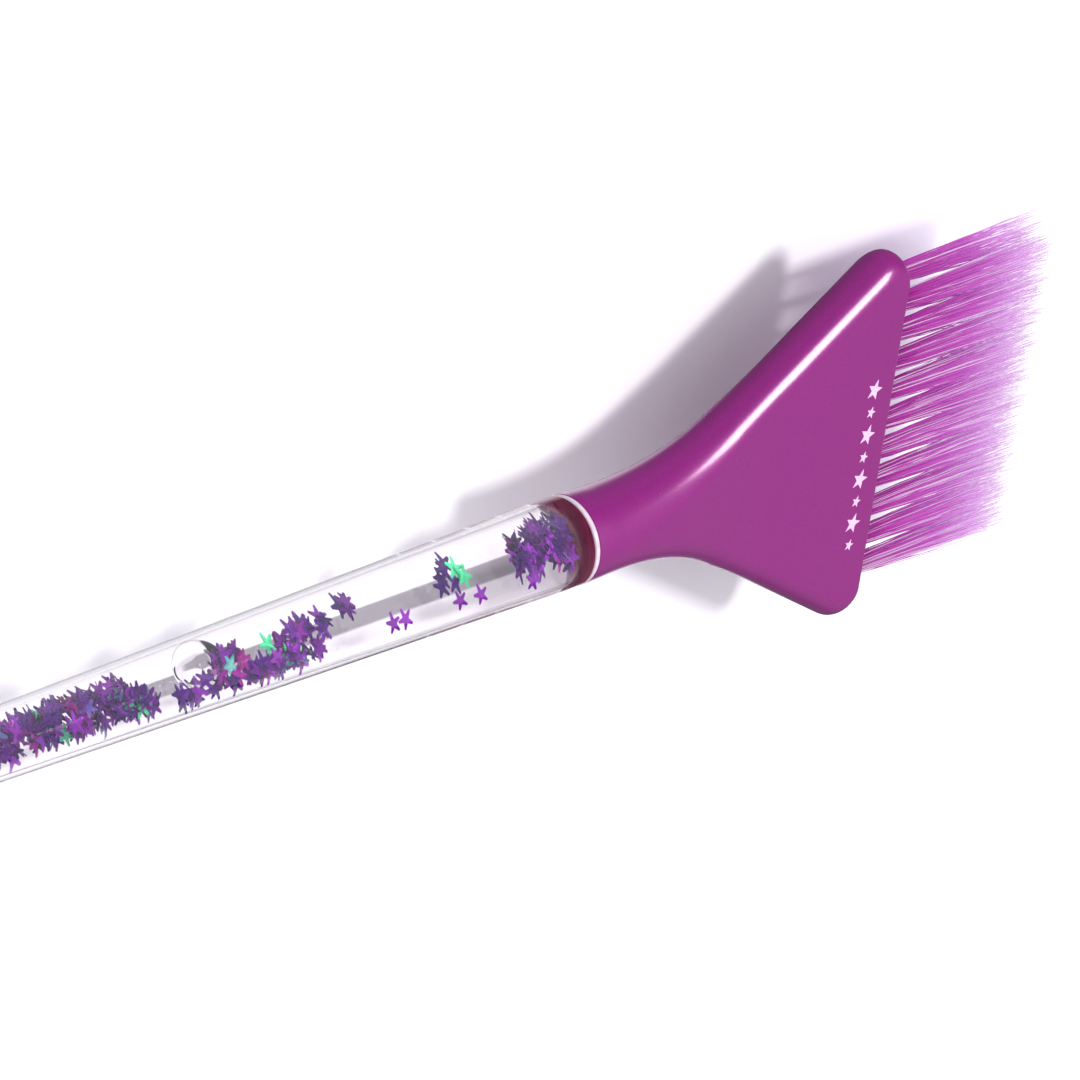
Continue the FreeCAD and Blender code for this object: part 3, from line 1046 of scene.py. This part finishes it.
def filament_path(rng, index, y, z, length):
    """Centre points of one filament from inside its hole to its tip."""
    radius = PACK_RADIUS * math.sqrt((index + 0.5) / FILAMENTS)
    angle = index * FILAMENT_TURN + rng.uniform(-0.2, 0.2)
    dy, dz = radius * math.cos(angle), radius * math.sin(angle)
    fan_y = dy + rng.gauss(0, 0.50 * MM)
    fan_z = dz * 0.45 + rng.gauss(0, 0.25 * MM)
    outward = y * ROW_FLARE
    wave = rng.uniform(0.03, 0.12) * MM
    phase, turns = rng.uniform(0, 2 * math.pi), rng.uniform(1.5, 3.5)
    points = []
    for i in range(FILAMENT_RINGS):
        s = i / (FILAMENT_RINGS - 1)
        out = max(s * (length + ROOT_DEPTH) - ROOT_DEPTH, 0.0) / length
        sway = wave * math.sin(phase + 2 * math.pi * turns * out) * math.sqrt(out)
        lift = wave * math.cos(phase * 1.7 + 2 * math.pi * turns * out) * math.sqrt(out)
        swell = ROOT_SWELL * math.sin(math.pi / 2 * min(out / SWELL_SHARE, 1.0))
        points.append(
            Vector(
                (
                    HEAD_END_X - ROOT_DEPTH + s * (length + ROOT_DEPTH),
                    y + dy * (1 + swell) + (fan_y + outward) * out**FAN_GROWTH + sway,
                    z + dz * (1 + swell / 2) + fan_z * out**FAN_GROWTH + lift,
                )
            )
        )
    return points


def tuft(node, y, z, rng, material, full_length):
    """One tuft's filaments. They keep how far along they are and a tone each, for the colour."""
    verts, faces, along, tones = [], [], [], []
    for index in range(FILAMENTS):
        length = full_length * (LONGEST - LENGTH_LOSS * rng.random() ** 2)
        points = filament_path(rng, index, y, z, length)
        tone = rng.random()
        thick = FILAMENT_RADIUS * rng.uniform(0.8, 1.15)
        base = len(verts)
        for i, point in enumerate(points):
            s = i / (FILAMENT_RINGS - 1)
            thinned = max(s - TAPER_FROM, 0) / (1 - TAPER_FROM)
            radius = thick * (1 - FILAMENT_TAPER * thinned)
            for k in range(FILAMENT_SIDES):
                angle = 2 * math.pi * (k / FILAMENT_SIDES) + index
                verts.append(point + Vector((0, radius * math.cos(angle), radius * math.sin(angle))))
                along.append((point.x - HEAD_END_X) / full_length)
                tones.append(tone)
        for i in range(FILAMENT_RINGS - 1):
            for k in range(FILAMENT_SIDES):
                a = base + i * FILAMENT_SIDES + k
                b = base + i * FILAMENT_SIDES + (k + 1) % FILAMENT_SIDES
                faces.append((a, b, b + FILAMENT_SIDES, a + FILAMENT_SIDES))
        last = base + (FILAMENT_RINGS - 1) * FILAMENT_SIDES
        faces.append(tuple(reversed(range(base, base + FILAMENT_SIDES))))
        faces.append(tuple(range(last, last + FILAMENT_SIDES)))
    piece = make_object(node.replace("tuft", "bristles"), verts, faces, material)
    for name, values in (("along", along), ("tone", tones)):
        attribute = piece.data.attributes.new(name, "FLOAT", "POINT")
        attribute.data.foreach_set("value", [max(min(v, 1.0), 0.0) for v in values])
    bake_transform(piece)
    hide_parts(node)
    return piece


def bristles(material):
    rng = random.Random(5)
    for node, (y, z) in tuft_places().items():
        full_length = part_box(node)[1].x - HEAD_END_X
        tuft(node, y, z, rng, material, full_length)


# ---------------------------------------------------------------- stage, lights, camera


def stage():
    verts = [(x * FLOOR_HALF, y * FLOOR_HALF, 0) for x, y in ((-1, -1), (1, -1), (1, 1), (-1, 1))]
    floor = make_object("floor", verts, [(0, 1, 2, 3)], floor_paper())
    floor.location.z = -FLOOR_DROP


def area_light(name, place, target, size, power, colour):
    data = bpy.data.lights.new(name, "AREA")
    data.shape = "RECTANGLE"
    data.size, data.size_y = size
    data.energy = power
    data.color = colour
    light = bpy.data.objects.new(name, data)
    light.location = place
    light.rotation_mode = "QUATERNION"
    light.rotation_quaternion = (Vector(target) - Vector(place)).to_track_quat("-Z", "Y")
    bpy.context.scene.collection.objects.link(light)
    return light


def studio_world():
    """A soft white room, dimmer on one side and bright along the horizon. Reflected rays see it dark."""
    world = bpy.data.worlds.new("studio")
    bpy.context.scene.world = world
    world.use_nodes = True
    tree = world.node_tree
    background = tree.nodes["Background"]
    background.inputs["Color"].default_value = (0.96, 0.95, 1.0, 1.0)
    direction = tree.nodes.new("ShaderNodeTexCoord")
    towards = tree.nodes.new("ShaderNodeVectorMath")
    towards.operation = "DOT_PRODUCT"
    towards.inputs[1].default_value = DIM_SIDE
    tree.links.new(direction.outputs["Generated"], towards.inputs[0])
    split = tree.nodes.new("ShaderNodeSeparateXYZ")
    tree.links.new(direction.outputs["Generated"], split.inputs["Vector"])
    level = graded(tree, towards.outputs["Value"], 0.25, 0.85, WORLD_LEVEL, WORLD_DIM_LEVEL)
    horizon = graded(tree, split.outputs["Z"], 0.04, 0.22, HORIZON_LEVEL, 0.0)
    reflected = graded(tree, towards.outputs["Value"], 0.55, 0.95, MIRRORED_LEVEL, MIRRORED_DIM_SIDE)
    strength = tree.nodes.new("ShaderNodeMix")
    tree.links.new(mirrored(tree), strength.inputs["Factor"])
    tree.links.new(larger(tree, level, horizon), strength.inputs["A"])
    tree.links.new(reflected, strength.inputs["B"])
    tree.links.new(strength.outputs["Result"], background.inputs["Strength"])


def lights(glossed):
    """A key light for everything, and a panel whose long soft highlight only the glossed pieces show."""
    studio_world()
    middle = on_axis(JOINT_X + 20 * MM)
    key = area_light("key", middle + OVERHEAD * 2, middle, (0.20, 0.20), 10.4, (1.0, 0.98, 0.99))
    key.visible_glossy = False
    panel = area_light("gloss_panel", middle + OVERHEAD, middle, (0.34, 0.46), 5.4, (1.0, 0.98, 1.0))
    panel.visible_diffuse = False
    panel.visible_transmission = False
    receivers = bpy.data.collections.new("gloss_receivers")
    for piece in glossed:
        receivers.objects.link(piece)
    panel.light_linking.receiver_collection = receivers


def camera():
    data = bpy.data.cameras.new("camera")
    data.lens = CAMERA_LENS
    data.sensor_width = 36
    data.clip_start = 0.01
    camera_object = bpy.data.objects.new("camera", data)
    bpy.context.scene.collection.objects.link(camera_object)
    back = CAMERA_BACK.normalized()
    right = CAMERA_UP.cross(back).normalized()
    up = back.cross(right)
    turn = Matrix((right, up, back)).transposed().to_4x4()
    camera_object.matrix_world = Matrix.Translation(CAMERA_TARGET + back * CAMERA_DISTANCE) @ turn
    bpy.context.scene.camera = camera_object


# ---------------------------------------------------------------- all of it


def finish_hidden_parts():
    """The CAD parts inside the neck and the holes keep their shape and get their own materials."""
    materials = {
        "chamber_stopper": stopper_plastic(),
        "stopper_o_ring": seal_rubber(),
        "anchors_front": anchor_metal(),
        "tuft_roots_front": bristle("bristle_root"),
    }
    materials["anchors_back"] = materials["anchors_front"]
    materials["tuft_roots_back"] = materials["tuft_roots_front"]
    for node, material in materials.items():
        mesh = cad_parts[node].data
        mesh.materials.clear()
        mesh.materials.append(material)


camera()
stage()
lights([brush_head(head_plastic())])
printed_stars(print_ink())
handle_tube(clear_tube())
# Painted shade: the tenon is opaque dark wine-red, in place of the shaded neck face behind the clear tube
painted_shade_tenon(stopper_plastic("tenon_painted_shade"))
liquid(clear_liquid())
joint_ring(ring_plastic())
stars(star_foil())
bristles(bristle())
finish_hidden_parts()
bpy.context.scene.view_settings.view_transform = "Standard"
